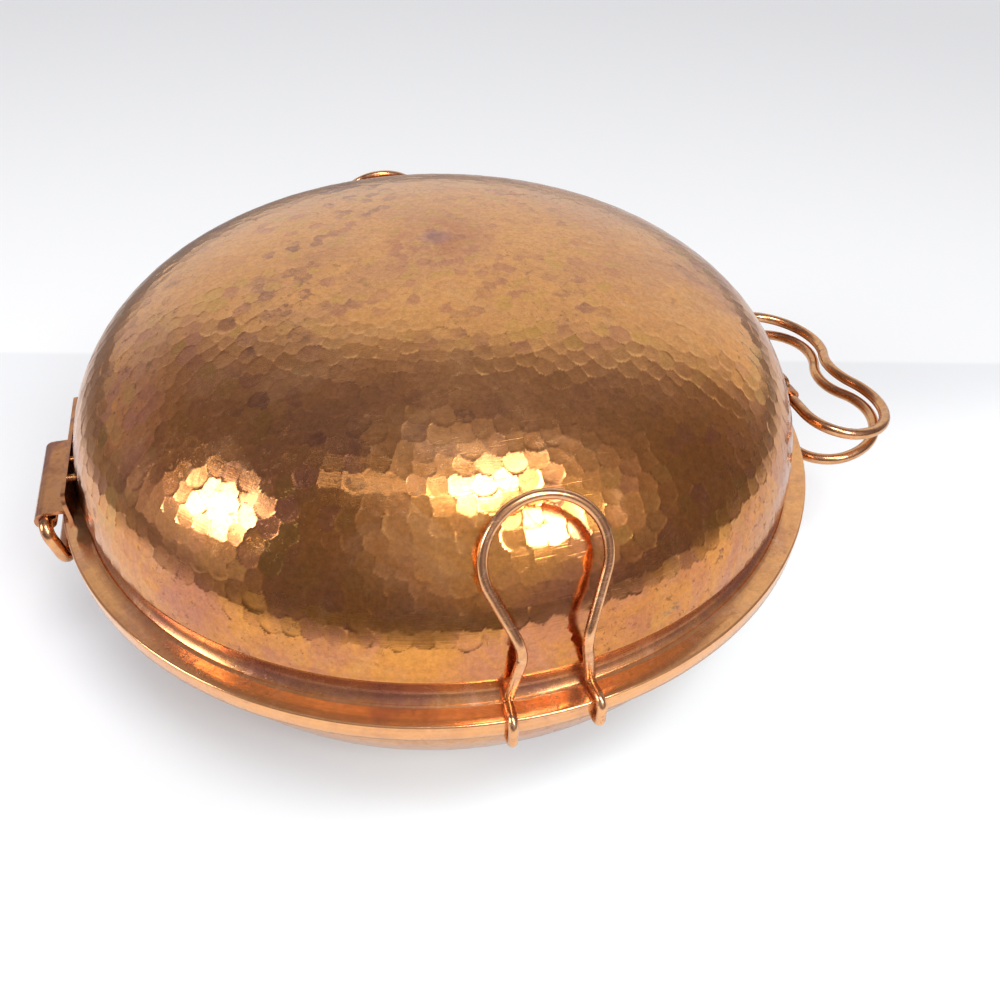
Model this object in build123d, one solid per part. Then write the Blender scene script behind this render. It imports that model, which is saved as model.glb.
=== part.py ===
from build123d import *
from math import atan2, cos, hypot, pi, radians, sin, sqrt
from typing import NamedTuple
import os

"""A cataplana: two hammered copper shells joined rim to rim like a clam.

Millimetres. The origin is the centre of the flat foot, +Z is up. The hinge is on -X, the pair
of handles on +X, and the two wire clamps on -Y (front) and +Y (rear). "Height" below is counted
from the seam, the plane where the two rims meet; "out" is the distance from the Z axis.
"""

# --- driving dimensions -------------------------------------------------------------------
RIM_R = 160.0  # outside of the skirt, the widest part of the shells
SHEET = 1.2  # copper sheet of both shells
SEAM_GAP = 0.3  # air between the two rims
FOOT_R = 32.0  # flattened foot of the lower shell
CROWN_R = 6.0  # the dome is level this far from the axis

# dome: a superellipse (out / DOME_R)^n + ((height - DOME_BASE) / DOME_RISE)^n = 1
DOME_R = 152.0
DOME_RISE = 91.8
DOME_BASE = -2.65
DOME_POWER = 2.49
SEAM_Z = DOME_BASE + DOME_RISE * (1 - (FOOT_R / DOME_R) ** DOME_POWER) ** (1 / DOME_POWER)
DOME_START = 13.0  # height where the dome turns in to its rounded lower edge
BULGE_R = 3.55  # radius of that rounded edge
NECK_OUT, NECK_TOP = 148.3, 9.3  # foot of the rounded edge, top of the hollow neck
NECK_WAIST_OUT, NECK_WAIST = 148.9, 4.4
CREASE_OUT = 151.4  # the neck meets the flat rim here
EDGE_R = 0.8  # rounding of the rim's outer corner
START_TURN = 45.0  # degrees: where a shell's full turn starts, clear of the rivets

SKIRT_DROP = 5.9  # lower edge of the skirt below the seam
LIP_OUT = 158.3  # outside of the lower rim's turned-down lip
LIP_DROP = 5.4

# sheet fittings: a plate on the flank, bent out and rolled into a barrel
LEAF_SHEET = 1.5
LEAF_STANDOFF = 0.25  # between the plate and the shell
PLATE_WIDTH = 70.0
PLATE_TOP = 19.4  # upper plate reaches this far above the seam
PLATE_CORNER_R = 4.0
PLATE_BEND_R = 4.6
TONGUE_FLARE_R = 6.0  # the tongue widens to the plate with this radius
BARREL_LENGTH = 46.8
ROD_R = 2.5  # hinge link and handles
ROD_CLEARANCE = 0.08
ROLL_GAP = (105.0, 165.0)  # open part of the rolled sheet, degrees from straight out
UPPER_AXIS_OUT, UPPER_AXIS = 164.8, 0.4
LOWER_AXIS_OUT, LOWER_AXIS = 161.5, -17.5
LOWER_PLATE_FOOT = -35.5
LOWER_PLATE_OPENING = 0.5  # the lower plate's extra stand-off where its bend starts

RIVET_R = 1.5
RIVET_HEAD_R, RIVET_HEAD = 2.8, 1.1
RIVET_CLEARANCE = 0.02
RIVET_LIFT = 0.1  # of the flat side of a head off the plate
RIVET_SEAT_GAP = 0.4  # of the tail off the dome's sloping inside
RIVET_TAIL_R, RIVET_TAIL = 2.4, 0.8
RIVET_HEIGHT, LOWER_RIVET_HEIGHT = 15.2, -29.9
RIVET_PLACES = (-17.4, -5.8, 5.8, 17.4)  # across the plate

# hinge link: a rounded rectangle of rod through the two hinge barrels
LINK_HALF_WIDTH = 28.5
LINK_CORNER_R = 5.0

# handles: closed loops with a dipped outer side, measured from the barrel's axis
HANDLE_DIP = 38.5
HANDLE_DIP_R = 26.0
HANDLE_DIP_TURN = 30.0
HANDLE_HALF_WIDTH = 54.0
UPPER_HANDLE_DROOP = 7.0  # degrees below level
LOWER_HANDLE_RISE = 9.0  # degrees above level

# clamps: one spring wire each, with two hooks round the rims and an omega loop above
CLAMP_WIRE_R = 1.7
HOOK_HALF_SPACING = 14.9
CREASE_HALF_SPACING = 14.1
HOOK_TIP_OUT = 156.4
HOOK_BOTTOM, HOOK_TOP = -8.3, 3.6
HOOK_OUT = 162.2
HOOK_BEND_R = 3.6
CLAMP_CREASE_R = 2.0
CLAMP_NECK_HALF = 10.0
CLAMP_NECK_R = 14.0
LOOP_R = 19.6


class ClampBend(NamedTuple):
    """Where one clamp is bent by hand above its hooks; the two clamps differ a little."""

    crease_out: float
    neck_out: float
    neck: float  # height of the neck
    lean: float  # degrees that the loop leans in over the dome
    loop_centre: float  # from the neck to the middle of the loop, along its slope


FRONT_BEND = ClampBend(152.6, 154.9, 29.2, 29.0, 28.0)
REAR_BEND = ClampBend(153.9, 153.0, 25.5, 32.0, 26.2)


# --- helpers ------------------------------------------------------------------------------
def section_point(out, height):
    """A point of the half section, in the XZ plane."""
    return Vector(out, 0, SEAM_Z + height)


def dome_out(height, inset=0.0):
    """Distance from the axis of the dome's outside, or of a surface inset from it."""
    share = ((abs(height) - DOME_BASE) / (DOME_RISE - inset)) ** DOME_POWER
    return (DOME_R - inset) * (1 - share) ** (1 / DOME_POWER)


def dome_height(out, inset=0.0):
    """Height above the seam of the dome at a distance from the axis."""
    share = (out / (DOME_R - inset)) ** DOME_POWER
    return DOME_BASE + (DOME_RISE - inset) * (1 - share) ** (1 / DOME_POWER)


def dome_curve(side, start_out, inset):
    """The dome's curve from near the axis down to DOME_START. side is 1 above, -1 below."""
    points = []
    steps = 12
    low = atan_of_height(DOME_START, inset)
    high = atan_of_height(dome_height(start_out, inset), inset)
    for i in range(steps):
        turn = high + (low - high) * i / (steps - 1)
        out = (DOME_R - inset) * cos(turn) ** (2 / DOME_POWER)
        height = DOME_BASE + (DOME_RISE - inset) * sin(turn) ** (2 / DOME_POWER)
        points.append(section_point(out, side * height))
    return Spline(*points)


def atan_of_height(height, inset):
    """The superellipse's parameter at a height."""
    share = (height - DOME_BASE) / (DOME_RISE - inset)
    rise = share ** (DOME_POWER / 2)
    return atan2(rise, sqrt(1 - rise * rise))


def bulge_points(side, inset):
    """Three points of the rounded lower edge of a dome, from the dome to the neck."""
    centre_out = NECK_OUT - BULGE_R * cos(radians(80))
    centre_height = NECK_TOP + BULGE_R * sin(radians(80))
    start = section_point(dome_out(DOME_START, inset), side * DOME_START)
    points = [start]
    for turn in (-40, -80):
        out = centre_out + (BULGE_R - inset) * cos(radians(turn))
        height = centre_height + (BULGE_R - inset) * sin(radians(turn))
        points.append(section_point(out, side * height))
    return points


def shell_section(side, start_out, rim_edges):
    """Closed half section of a shell, level out to start_out; rim_edges joins its two creases."""
    top = side * dome_height(start_out, 0.0)
    inner_top = side * dome_height(start_out, SHEET)
    outer_bulge = bulge_points(side, 0.0)
    inner_bulge = bulge_points(side, SHEET)
    inner_neck = section_point(NECK_OUT - SHEET, side * NECK_TOP)
    face_height = SEAM_GAP / 2 + SHEET
    outer_crease = section_point(CREASE_OUT, side * face_height)
    inner_crease = section_point(CREASE_OUT - SHEET, side * (SEAM_GAP / 2))
    edges = [
        dome_curve(side, start_out, 0.0),
        ThreePointArc(*outer_bulge),
        ThreePointArc(
            outer_bulge[2],
            section_point(NECK_WAIST_OUT, side * NECK_WAIST),
            outer_crease,
        ),
        *rim_edges,
        ThreePointArc(
            inner_crease,
            section_point(NECK_WAIST_OUT - SHEET, side * NECK_WAIST),
            inner_neck,
        ),
        Line(inner_neck, inner_bulge[2]),
        ThreePointArc(*reversed(inner_bulge)),
        dome_curve(side, start_out, SHEET),
    ]
    edges.append(Line(section_point(0, top), section_point(start_out, top)))
    edges.append(Line(section_point(0, inner_top), section_point(start_out, inner_top)))
    edges.append(Line(section_point(0, top), section_point(0, inner_top)))
    return section_face(edges)


def section_face(edges):
    """Face inside joined edges, its normal towards -Y so that a turn about Z faces outwards."""
    face = Face(Wire.combine(edges)[0])
    return face if face.normal_at().Y < 0 else -face


def rivet_plane(seat, across):
    """A plane on the leaf's outer face; seat is its distance out, its height and its slope."""
    out, height, slope = seat
    return Plane(origin=Vector(out, across, SEAM_Z + height), z_dir=Vector(1, 0, slope))


def rivet_holes(seat):
    """Cutters for the four rivets of a fitting on the +X side."""
    hole = Cylinder(RIVET_R + RIVET_CLEARANCE, 4 * (LEAF_SHEET + SHEET))
    return [rivet_plane(seat, across).location * hole for across in RIVET_PLACES]


def at_side(shape, facing):
    """Turn a shape made on the +X side to another side of the pan."""
    return Rot(0, 0, facing) * shape


# --- shells -------------------------------------------------------------------------------
def upper_shell():
    """Dome, rounded edge, hollow neck, flat rim and the skirt turned down over the lower rim."""
    low = SEAM_GAP / 2
    high = low + SHEET
    inside = RIM_R - SHEET
    corner = RIM_R - EDGE_R
    rim = [
        Line(section_point(CREASE_OUT, high), section_point(corner, high)),
        ThreePointArc(
            section_point(corner, high),
            section_point(corner + EDGE_R * cos(pi / 4), high - EDGE_R * (1 - sin(pi / 4))),
            section_point(RIM_R, high - EDGE_R),
        ),
        Line(section_point(RIM_R, high - EDGE_R), section_point(RIM_R, -SKIRT_DROP)),
        Line(section_point(RIM_R, -SKIRT_DROP), section_point(inside, -SKIRT_DROP)),
        Line(section_point(inside, -SKIRT_DROP), section_point(inside, low)),
        Line(section_point(inside, low), section_point(CREASE_OUT - SHEET, low)),
    ]
    return Rot(0, 0, START_TURN) * revolve(shell_section(1, CROWN_R, rim), axis=Axis.Z)


def lower_shell():
    """The same dome upside down, with a flat foot and a rim turned down inside the skirt."""
    high = -SEAM_GAP / 2
    low = high - SHEET
    inside = LIP_OUT - SHEET
    rim = [
        Line(section_point(CREASE_OUT, low), section_point(inside, low)),
        Line(section_point(inside, low), section_point(inside, -LIP_DROP)),
        Line(section_point(inside, -LIP_DROP), section_point(LIP_OUT, -LIP_DROP)),
        Line(section_point(LIP_OUT, -LIP_DROP), section_point(LIP_OUT, high - EDGE_R)),
        ThreePointArc(
            section_point(LIP_OUT, high - EDGE_R),
            section_point(
                LIP_OUT - EDGE_R * (1 - cos(pi / 4)), high - EDGE_R * (1 - sin(pi / 4))
            ),
            section_point(LIP_OUT - EDGE_R, high),
        ),
        Line(section_point(LIP_OUT - EDGE_R, high), section_point(CREASE_OUT - SHEET, high)),
    ]
    return Rot(0, 0, START_TURN) * revolve(shell_section(-1, FOOT_R, rim), axis=Axis.Z)


# --- sheet fittings -----------------------------------------------------------------------
def rolled_barrel(out, height, side):
    """Sheet rolled round the rod, open where its edge ends near the tongue."""
    bore = ROD_R + ROD_CLEARANCE
    start, end = ROLL_GAP
    reach = 3 * (bore + LEAF_SHEET)
    ring = Circle(bore + LEAF_SHEET) - Circle(bore)
    gap = make_face(
        Polyline(
            (0, 0),
            (reach * cos(radians(start)), reach * sin(radians(start))),
            (reach * cos(radians(end)), reach * sin(radians(end))),
            close=True,
        )
    )
    flat = Plane(origin=section_point(out, height), x_dir=(1, 0, 0), z_dir=(0, -side, 0))
    return extrude(flat * (ring - gap), amount=BARREL_LENGTH / 2, both=True)


def leaf(sheet_faces, free_edge, axis_out, axis_height, side):
    """Flat-bent sheet: rounded plate, bend, and a tongue that narrows to the rolled barrel."""
    sheet = None
    for face in sheet_faces:
        strip = extrude(face, amount=PLATE_WIDTH / 2, both=True)
        sheet = strip if sheet is None else sheet + strip
    reach = 60.0
    outline = Pos(axis_out, 0, SEAM_Z + free_edge - side * reach / 2) * (
        Rot(0, 90, 0)
        * extrude(RectangleRounded(reach, PLATE_WIDTH, PLATE_CORNER_R), amount=reach, both=True)
    )
    sheet = sheet & outline
    notch_start = dome_out(DOME_START) + LEAF_STANDOFF + LEAF_SHEET + 0.4
    for half in (1, -1):
        notch = extrude(RectangleRounded(reach, reach, TONGUE_FLARE_R), amount=reach, both=True)
        sheet = sheet - Pos(
            notch_start + reach / 2, half * (BARREL_LENGTH + reach) / 2, SEAM_Z
        ) * notch
    return sheet + rolled_barrel(axis_out, axis_height, side)


def upper_leaf():
    """Stands on the upper dome's flank, bends out over the rim, rolls down round the rod."""
    inside = dome_out(DOME_START) + LEAF_STANDOFF
    outside = inside + LEAF_SHEET
    low = UPPER_AXIS + ROD_R + ROD_CLEARANCE
    bend_centre = (outside + PLATE_BEND_R, low + LEAF_SHEET + PLATE_BEND_R)
    plate = section_face(
        Polyline(
            section_point(inside, bend_centre[1]),
            section_point(outside, bend_centre[1]),
            section_point(outside, PLATE_TOP),
            section_point(inside, PLATE_TOP),
            close=True,
        ).edges()
    )
    bend = bend_section(inside, bend_centre, UPPER_AXIS_OUT, 1)
    return leaf((plate, bend), PLATE_TOP, UPPER_AXIS_OUT, UPPER_AXIS, 1)


def bend_section(inside, bend_centre, reach, side):
    """Quarter bend of the sheet and the tongue after it, in the section plane."""
    out, height = bend_centre
    outer_r = out - inside
    inner_r = outer_r - LEAF_SHEET
    half = sqrt(0.5)
    edges = [
        Line(section_point(inside, height), section_point(inside + LEAF_SHEET, height)),
        ThreePointArc(
            section_point(out - inner_r, height),
            section_point(out - inner_r * half, height - side * inner_r * half),
            section_point(out, height - side * inner_r),
        ),
        Line(
            section_point(out, height - side * inner_r),
            section_point(reach, height - side * inner_r),
        ),
        Line(
            section_point(reach, height - side * inner_r),
            section_point(reach, height - side * outer_r),
        ),
        Line(
            section_point(reach, height - side * outer_r),
            section_point(out, height - side * outer_r),
        ),
        ThreePointArc(
            section_point(out, height - side * outer_r),
            section_point(out - outer_r * half, height - side * outer_r * half),
            section_point(inside, height),
        ),
    ]
    return section_face(edges)


LOWER_BEND = LOWER_AXIS - ROD_R - ROD_CLEARANCE - LEAF_SHEET - PLATE_BEND_R


def lower_plate_out(height):
    """Distance out of the lower plate's inside face, which follows the dome to its bend."""
    share = (height - LOWER_PLATE_FOOT) / (LOWER_BEND - LOWER_PLATE_FOOT)
    return dome_out(height) + LEAF_STANDOFF + LOWER_PLATE_OPENING * share


def lower_leaf():
    """Hangs on the lower dome's flank, bends out under the rim, rolls up round the rod."""
    heights = [LOWER_BEND, (LOWER_BEND + LOWER_PLATE_FOOT) / 2, LOWER_PLATE_FOOT]
    inside = lower_plate_out(LOWER_BEND)
    outer = [section_point(lower_plate_out(height) + LEAF_SHEET, height) for height in heights]
    inner = [section_point(lower_plate_out(height), height) for height in heights]
    plate = section_face(
        [
            ThreePointArc(*inner),
            Line(inner[2], outer[2]),
            ThreePointArc(*outer),
            Line(outer[0], inner[0]),
        ]
    )
    bend_centre = (inside + LEAF_SHEET + PLATE_BEND_R, LOWER_BEND)
    bend = bend_section(inside, bend_centre, LOWER_AXIS_OUT, -1)
    return leaf((plate, bend), LOWER_PLATE_FOOT, LOWER_AXIS_OUT, LOWER_AXIS, -1)


def rivet(seat, across):
    """A low domed head on the leaf, a shank through leaf and shell, and a flat tail inside."""
    wall = dome_out(seat[1], SHEET)
    reach = abs(across) + RIVET_TAIL_R
    depth = seat[0] - sqrt(wall * wall - reach * reach) + RIVET_SEAT_GAP
    crown_r = (RIVET_HEAD_R**2 + RIVET_HEAD**2) / (2 * RIVET_HEAD)
    shank = Pos(0, 0, (RIVET_LIFT - depth) / 2) * Cylinder(RIVET_R, RIVET_LIFT + depth)
    tail = Pos(0, 0, -depth - RIVET_TAIL / 2) * Cylinder(RIVET_TAIL_R, RIVET_TAIL)
    crown = Pos(0, 0, RIVET_LIFT + RIVET_HEAD - crown_r) * Sphere(crown_r)
    cap = Pos(0, 0, RIVET_LIFT + RIVET_HEAD / 2) * Cylinder(RIVET_HEAD_R, RIVET_HEAD)
    return rivet_plane(seat, across).location * (shank + tail + (crown & cap))


def rivets(seat, facing):
    """The four rivets of one fitting, as separate solids."""
    return Compound(children=[at_side(rivet(seat, across), facing) for across in RIVET_PLACES])


# --- rod and wire pieces ------------------------------------------------------------------
def swept_rod(path, radius):
    """A round rod along a smooth path."""
    return sweep(Plane(origin=path @ 0, z_dir=path % 0) * Circle(radius), path=path)


def hinge_link():
    """Rounded rectangle of rod; its long sides run through the two hinge barrels."""
    run = UPPER_AXIS_OUT - LOWER_AXIS_OUT
    rise = UPPER_AXIS - LOWER_AXIS
    middle = section_point(
        (UPPER_AXIS_OUT + LOWER_AXIS_OUT) / 2, (UPPER_AXIS + LOWER_AXIS) / 2
    )
    plane = Plane(origin=middle, x_dir=(0, 1, 0), z_dir=Vector(rise, 0, -run))
    half_width = LINK_HALF_WIDTH
    half_height = hypot(run, rise) / 2
    corners = [
        (0, half_height),
        (half_width, half_height),
        (half_width, -half_height),
        (-half_width, -half_height),
        (-half_width, half_height),
    ]
    radii = [0, *[LINK_CORNER_R] * 4]
    path = FilletPolyline(*corners, radius=radii, close=True)
    return swept_rod(plane * path, ROD_R)


def handle_path():
    """Closed loop: straight through the barrel, round two lobes, dipped in the middle."""
    turn = radians(HANDLE_DIP_TURN)
    dip_end = (HANDLE_DIP_R * sin(turn), HANDLE_DIP + HANDLE_DIP_R * (1 - cos(turn)))
    lobe_r = (HANDLE_HALF_WIDTH - dip_end[0]) / (1 + sin(turn))
    lobe = (HANDLE_HALF_WIDTH - lobe_r, dip_end[1] - lobe_r * cos(turn))
    root_r = lobe[1]
    root = (HANDLE_HALF_WIDTH - root_r, 0)
    edges = [
        ThreePointArc((-dip_end[0], dip_end[1]), (0, HANDLE_DIP), dip_end),
        Line((-root[0], 0), (root[0], 0)),
    ]
    half = sqrt(0.5)
    for side in (1, -1):
        lobe_top = (side * (lobe[0] + lobe_r * half), lobe[1] + lobe_r * half)
        widest = (side * HANDLE_HALF_WIDTH, lobe[1])
        corner = (side * (root[0] + root_r * half), root_r * (1 - half))
        edges.append(ThreePointArc((side * dip_end[0], dip_end[1]), lobe_top, widest))
        edges.append(ThreePointArc(widest, corner, (side * root[0], 0)))
    return Wire.combine(edges)[0]


def handle(axis_out, axis_height, tilt):
    """A handle loop on its barrel's axis, tilted up from level by tilt degrees."""
    outward = Vector(cos(radians(tilt)), 0, sin(radians(tilt)))
    normal = Vector(0, 1, 0).cross(outward)
    plane = Plane(origin=section_point(axis_out, axis_height), x_dir=(0, 1, 0), z_dir=normal)
    return swept_rod(plane * handle_path(), ROD_R)


def clamp(bend):
    """Spring wire: hooks under and over both rims, a crease, a narrow neck and a round loop."""
    lean = radians(bend.lean)

    def place(side, across, out, height):
        return Vector(out, side * across, SEAM_Z + height)

    def on_loop(side, across, along):
        out = bend.neck_out - along * sin(lean)
        return place(side, across, out, bend.neck + along * cos(lean))

    reach = hypot(CLAMP_NECK_HALF, bend.loop_centre)
    tangent = sqrt(reach * reach - LOOP_R * LOOP_R)
    heading = atan2(bend.loop_centre, -CLAMP_NECK_HALF) - atan2(LOOP_R, tangent)
    meet = (CLAMP_NECK_HALF + tangent * cos(heading), tangent * sin(heading))
    legs = {}
    for side in (1, -1):
        points = [
            place(side, HOOK_HALF_SPACING, HOOK_TIP_OUT, HOOK_BOTTOM),
            place(side, HOOK_HALF_SPACING, HOOK_OUT, HOOK_BOTTOM),
            place(side, HOOK_HALF_SPACING, HOOK_OUT, HOOK_TOP),
            place(side, CREASE_HALF_SPACING, bend.crease_out, HOOK_TOP),
            place(side, CLAMP_NECK_HALF, bend.neck_out, bend.neck),
            on_loop(side, meet[0], meet[1]),
        ]
        radii = [HOOK_BEND_R, HOOK_BEND_R, CLAMP_CREASE_R, CLAMP_NECK_R]
        legs[side] = FilletPolyline(*points, radius=radii)
    loop = ThreePointArc(
        on_loop(1, *meet), on_loop(1, 0, bend.loop_centre + LOOP_R), on_loop(-1, *meet)
    )
    path = Wire.combine([*legs[1].edges(), loop, *legs[-1].edges()])[0]
    return swept_rod(path, CLAMP_WIRE_R)


# --- the assembly -------------------------------------------------------------------------
HINGE, HANDLES, FRONT, REAR = 180, 0, -90, 90

flank_slope = (
    lower_plate_out(LOWER_RIVET_HEIGHT - 2) - lower_plate_out(LOWER_RIVET_HEIGHT + 2)
) / 4
upper_seat = (dome_out(DOME_START) + LEAF_STANDOFF + LEAF_SHEET, RIVET_HEIGHT, 0.0)
lower_seat = (
    lower_plate_out(LOWER_RIVET_HEIGHT) + LEAF_SHEET, LOWER_RIVET_HEIGHT, flank_slope
)
upper_holes = rivet_holes(upper_seat)
lower_holes = rivet_holes(lower_seat)
upper_fitting = upper_leaf() - upper_holes
lower_fitting = lower_leaf() - lower_holes
SIDES = (HINGE, HANDLES)

parts = {
    "upper_shell": upper_shell() - [at_side(hole, s) for s in SIDES for hole in upper_holes],
    "lower_shell": lower_shell() - [at_side(hole, s) for s in SIDES for hole in lower_holes],
    "upper_hinge_leaf": at_side(upper_fitting, HINGE),
    "lower_hinge_leaf": at_side(lower_fitting, HINGE),
    "hinge_link": at_side(hinge_link(), HINGE),
    "upper_handle_leaf": at_side(upper_fitting, HANDLES),
    "lower_handle_leaf": at_side(lower_fitting, HANDLES),
    "upper_handle": handle(UPPER_AXIS_OUT, UPPER_AXIS, -UPPER_HANDLE_DROOP),
    "lower_handle": handle(LOWER_AXIS_OUT, LOWER_AXIS, LOWER_HANDLE_RISE),
    "front_clamp": at_side(clamp(FRONT_BEND), FRONT),
    "rear_clamp": at_side(clamp(REAR_BEND), REAR),
    "upper_hinge_rivets": rivets(upper_seat, HINGE),
    "lower_hinge_rivets": rivets(lower_seat, HINGE),
    "upper_handle_rivets": rivets(upper_seat, HANDLES),
    "lower_handle_rivets": rivets(lower_seat, HANDLES),
}

os.makedirs("parts", exist_ok=True)
for name, shape in parts.items():
    export_step(shape, f"parts/{name}.step")
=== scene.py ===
import math

import bpy
import numpy as np
from mathutils import Matrix


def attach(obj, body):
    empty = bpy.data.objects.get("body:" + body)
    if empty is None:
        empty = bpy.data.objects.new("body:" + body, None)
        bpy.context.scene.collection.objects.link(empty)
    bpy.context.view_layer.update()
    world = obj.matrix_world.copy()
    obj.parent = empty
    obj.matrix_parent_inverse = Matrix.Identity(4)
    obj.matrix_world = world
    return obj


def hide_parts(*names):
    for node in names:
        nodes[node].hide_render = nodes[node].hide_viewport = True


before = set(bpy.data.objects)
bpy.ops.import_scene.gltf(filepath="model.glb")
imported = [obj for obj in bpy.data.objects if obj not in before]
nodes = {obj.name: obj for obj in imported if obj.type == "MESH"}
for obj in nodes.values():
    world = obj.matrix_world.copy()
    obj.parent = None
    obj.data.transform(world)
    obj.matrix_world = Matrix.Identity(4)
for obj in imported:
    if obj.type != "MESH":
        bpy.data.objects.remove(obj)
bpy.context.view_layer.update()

# --- sizes, in millimetres, the same as the solids' -----------------------------------------
MM = 0.001
DOME_OUT, DOME_RISE, DOME_BASE, DOME_POWER = 152.0, 91.8, -2.65, 2.49
FOOT_OUT = 32.0
SEAM = DOME_BASE + DOME_RISE * (1 - (FOOT_OUT / DOME_OUT) ** DOME_POWER) ** (1 / DOME_POWER)
SHEET = 1.2
DOME_START = 13.0  # height above the seam where the dome turns in to its rounded edge
EDGE_OUT, EDGE_HEIGHT, EDGE_BEND = 148.3, 9.3, 3.55  # where the rounded edge meets the neck
EDGE_START, EDGE_END = 4, -80  # degrees from straight out between which the edge is round
NECK_BULGE, NECK_FLARE = 0.35, 2.75  # how far the neck swells, and flares out to the flat rim
FLAT_TOP, FLAT_UNDER = 1.35, 0.15  # the flat rim's two faces, above the seam
CROWN_OUT, POLE_OUT = 36.0, 12.0  # where the rings of the crown get coarser


# --- meshes from rings ------------------------------------------------------------------------
def add_piece(name, vertices, quads, triangles, body):
    """Puts whole arrays of vertices (mm) and faces into a mesh that rides on a body."""
    mesh = bpy.data.meshes.new(name)
    sizes = np.r_[np.full(len(quads), 4), np.full(len(triangles), 3)]
    corners = np.r_[np.ravel(quads), np.ravel(triangles)].astype(np.int32)
    mesh.vertices.add(len(vertices))
    mesh.vertices.foreach_set("co", (np.asarray(vertices) * MM).astype(np.float32).ravel())
    mesh.loops.add(len(corners))
    mesh.loops.foreach_set("vertex_index", corners)
    mesh.polygons.add(len(sizes))
    mesh.polygons.foreach_set("loop_start", np.r_[0, np.cumsum(sizes)[:-1]].astype(np.int32))
    mesh.polygons.foreach_set("use_smooth", np.ones(len(sizes), bool))
    mesh.update(calc_edges=True)
    piece = bpy.data.objects.new(name, mesh)
    bpy.context.scene.collection.objects.link(piece)
    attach(piece, body)
    return piece


def join_pair(n, m, a, b):
    """Faces between a ring of n vertices from a on and one of m vertices from b on: quads where
    they are as many, three triangles per coarse step where one has twice as many, else a fan."""
    quads, triangles = np.zeros((0, 4), int), np.zeros((0, 3), int)
    j = np.arange(min(n, m) if min(n, m) > 1 else max(n, m))
    j2 = (j + 1) % len(j)
    if n == m and n > 1:
        quads = np.c_[a + j, a + j2, b + j2, b + j]
    elif m == 1 and n > 1:
        triangles = np.c_[a + j, a + j2, np.full(n, b)]
    elif n == 1 and m > 1:
        triangles = np.c_[np.full(m, a), b + j2, b + j]
    elif n == 2 * m:
        first, middle, last = a + 2 * j, a + 2 * j + 1, a + (2 * j + 2) % n
        triangles = np.concatenate([
            np.c_[first, middle, b + j],
            np.c_[middle, b + j2, b + j],
            np.c_[middle, last, b + j2],
        ])
    elif m == 2 * n:
        first, middle, last = b + 2 * j, b + 2 * j + 1, b + (2 * j + 2) % m
        triangles = np.concatenate([
            np.c_[a + j, middle, first],
            np.c_[a + j, a + j2, middle],
            np.c_[a + j2, last, middle],
        ])
    return quads, triangles


def join_rings(counts, closed=False):
    """Faces between neighbouring rings; also the number of the ring that each face starts from."""
    starts = np.r_[0, np.cumsum(counts)[:-1]]
    pairs = [(i, i + 1) for i in range(len(counts) - 1)]
    if closed:
        pairs.append((len(counts) - 1, 0))
    joined = [join_pair(counts[i], counts[k], starts[i], starts[k]) for i, k in pairs]
    quads = np.concatenate([q for q, _ in joined])
    triangles = np.concatenate([t for _, t in joined])
    ring = np.r_[
        np.repeat([i for i, _ in pairs], [len(q) for q, _ in joined]),
        np.repeat([i for i, _ in pairs], [len(t) for _, t in joined]),
    ]
    return quads, triangles, ring


# --- the domes --------------------------------------------------------------------------------
def dome_table(inset):
    """The dome's half section by its length from the crown: a superellipse, out = R cos(t)^(2/n)
    and height = base + rise sin(t)^(2/n), sampled finely, with its outward normal."""
    share = (DOME_START - DOME_BASE) / (DOME_RISE - inset)
    rise = share ** (DOME_POWER / 2)
    low = math.atan2(rise, math.sqrt(1 - rise * rise))
    t = np.linspace(math.pi / 2, low, 6001)
    out = (DOME_OUT - inset) * np.clip(np.cos(t), 0, 1) ** (2 / DOME_POWER)
    out[0] = 0
    height = DOME_BASE + (DOME_RISE - inset) * np.sin(t) ** (2 / DOME_POWER)
    length = np.r_[0, np.cumsum(np.hypot(np.diff(out), np.diff(height)))]
    slope_out, slope_height = np.gradient(out, length), np.gradient(height, length)
    return length, out, height, -slope_height, slope_out


OUTSIDE, INSIDE = dome_table(0.0), dome_table(SHEET)


def length_at(table, out):
    """Length from the crown at which the section is a given distance out."""
    return float(np.interp(out, table[1], table[0]))


# hammer blows, in millimetres
CROWN_PITCH, WIDER_ON_FLANK = 4.3, 2.5
FIRST_RING, STOP_SHORT = 1.5, 2.5  # where the rings start, and how short of the edge they end
WIDEN_FROM, DEEPEN_FROM = 25, 30  # lengths from the crown where blows start to grow
GROW_OVER = 60  # the length over which they grow
RING_STEP = 0.88  # rings lie this share of a blow's width apart
REACH = 0.53  # a blow's bowl ends at this share of its width
WALL = 0.60  # climb of a blow's edge in one more reach
SUNK, LATER_SUNK = 0.09, 0.014  # depth of every blow, and what the latest one adds
EDGE_GAP = 0.010  # two blows this near in depth run into each other
RIDGE_GAP = 0.012  # a ridge shows where the next blow is nearer than this
CROWN_SHARE = 0.60  # the crown's blows have this share of the flank's depth
EDGE_FADE, FOOT_FADE = 3.5, 8.0  # over these lengths the blows die away to smooth metal


def blow_pitch(s):
    """Width of a hammer blow: small and close at the crown, wide on the flank."""
    return CROWN_PITCH + WIDER_ON_FLANK * np.clip((s - WIDEN_FROM) / GROW_OVER, 0, 1)


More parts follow.
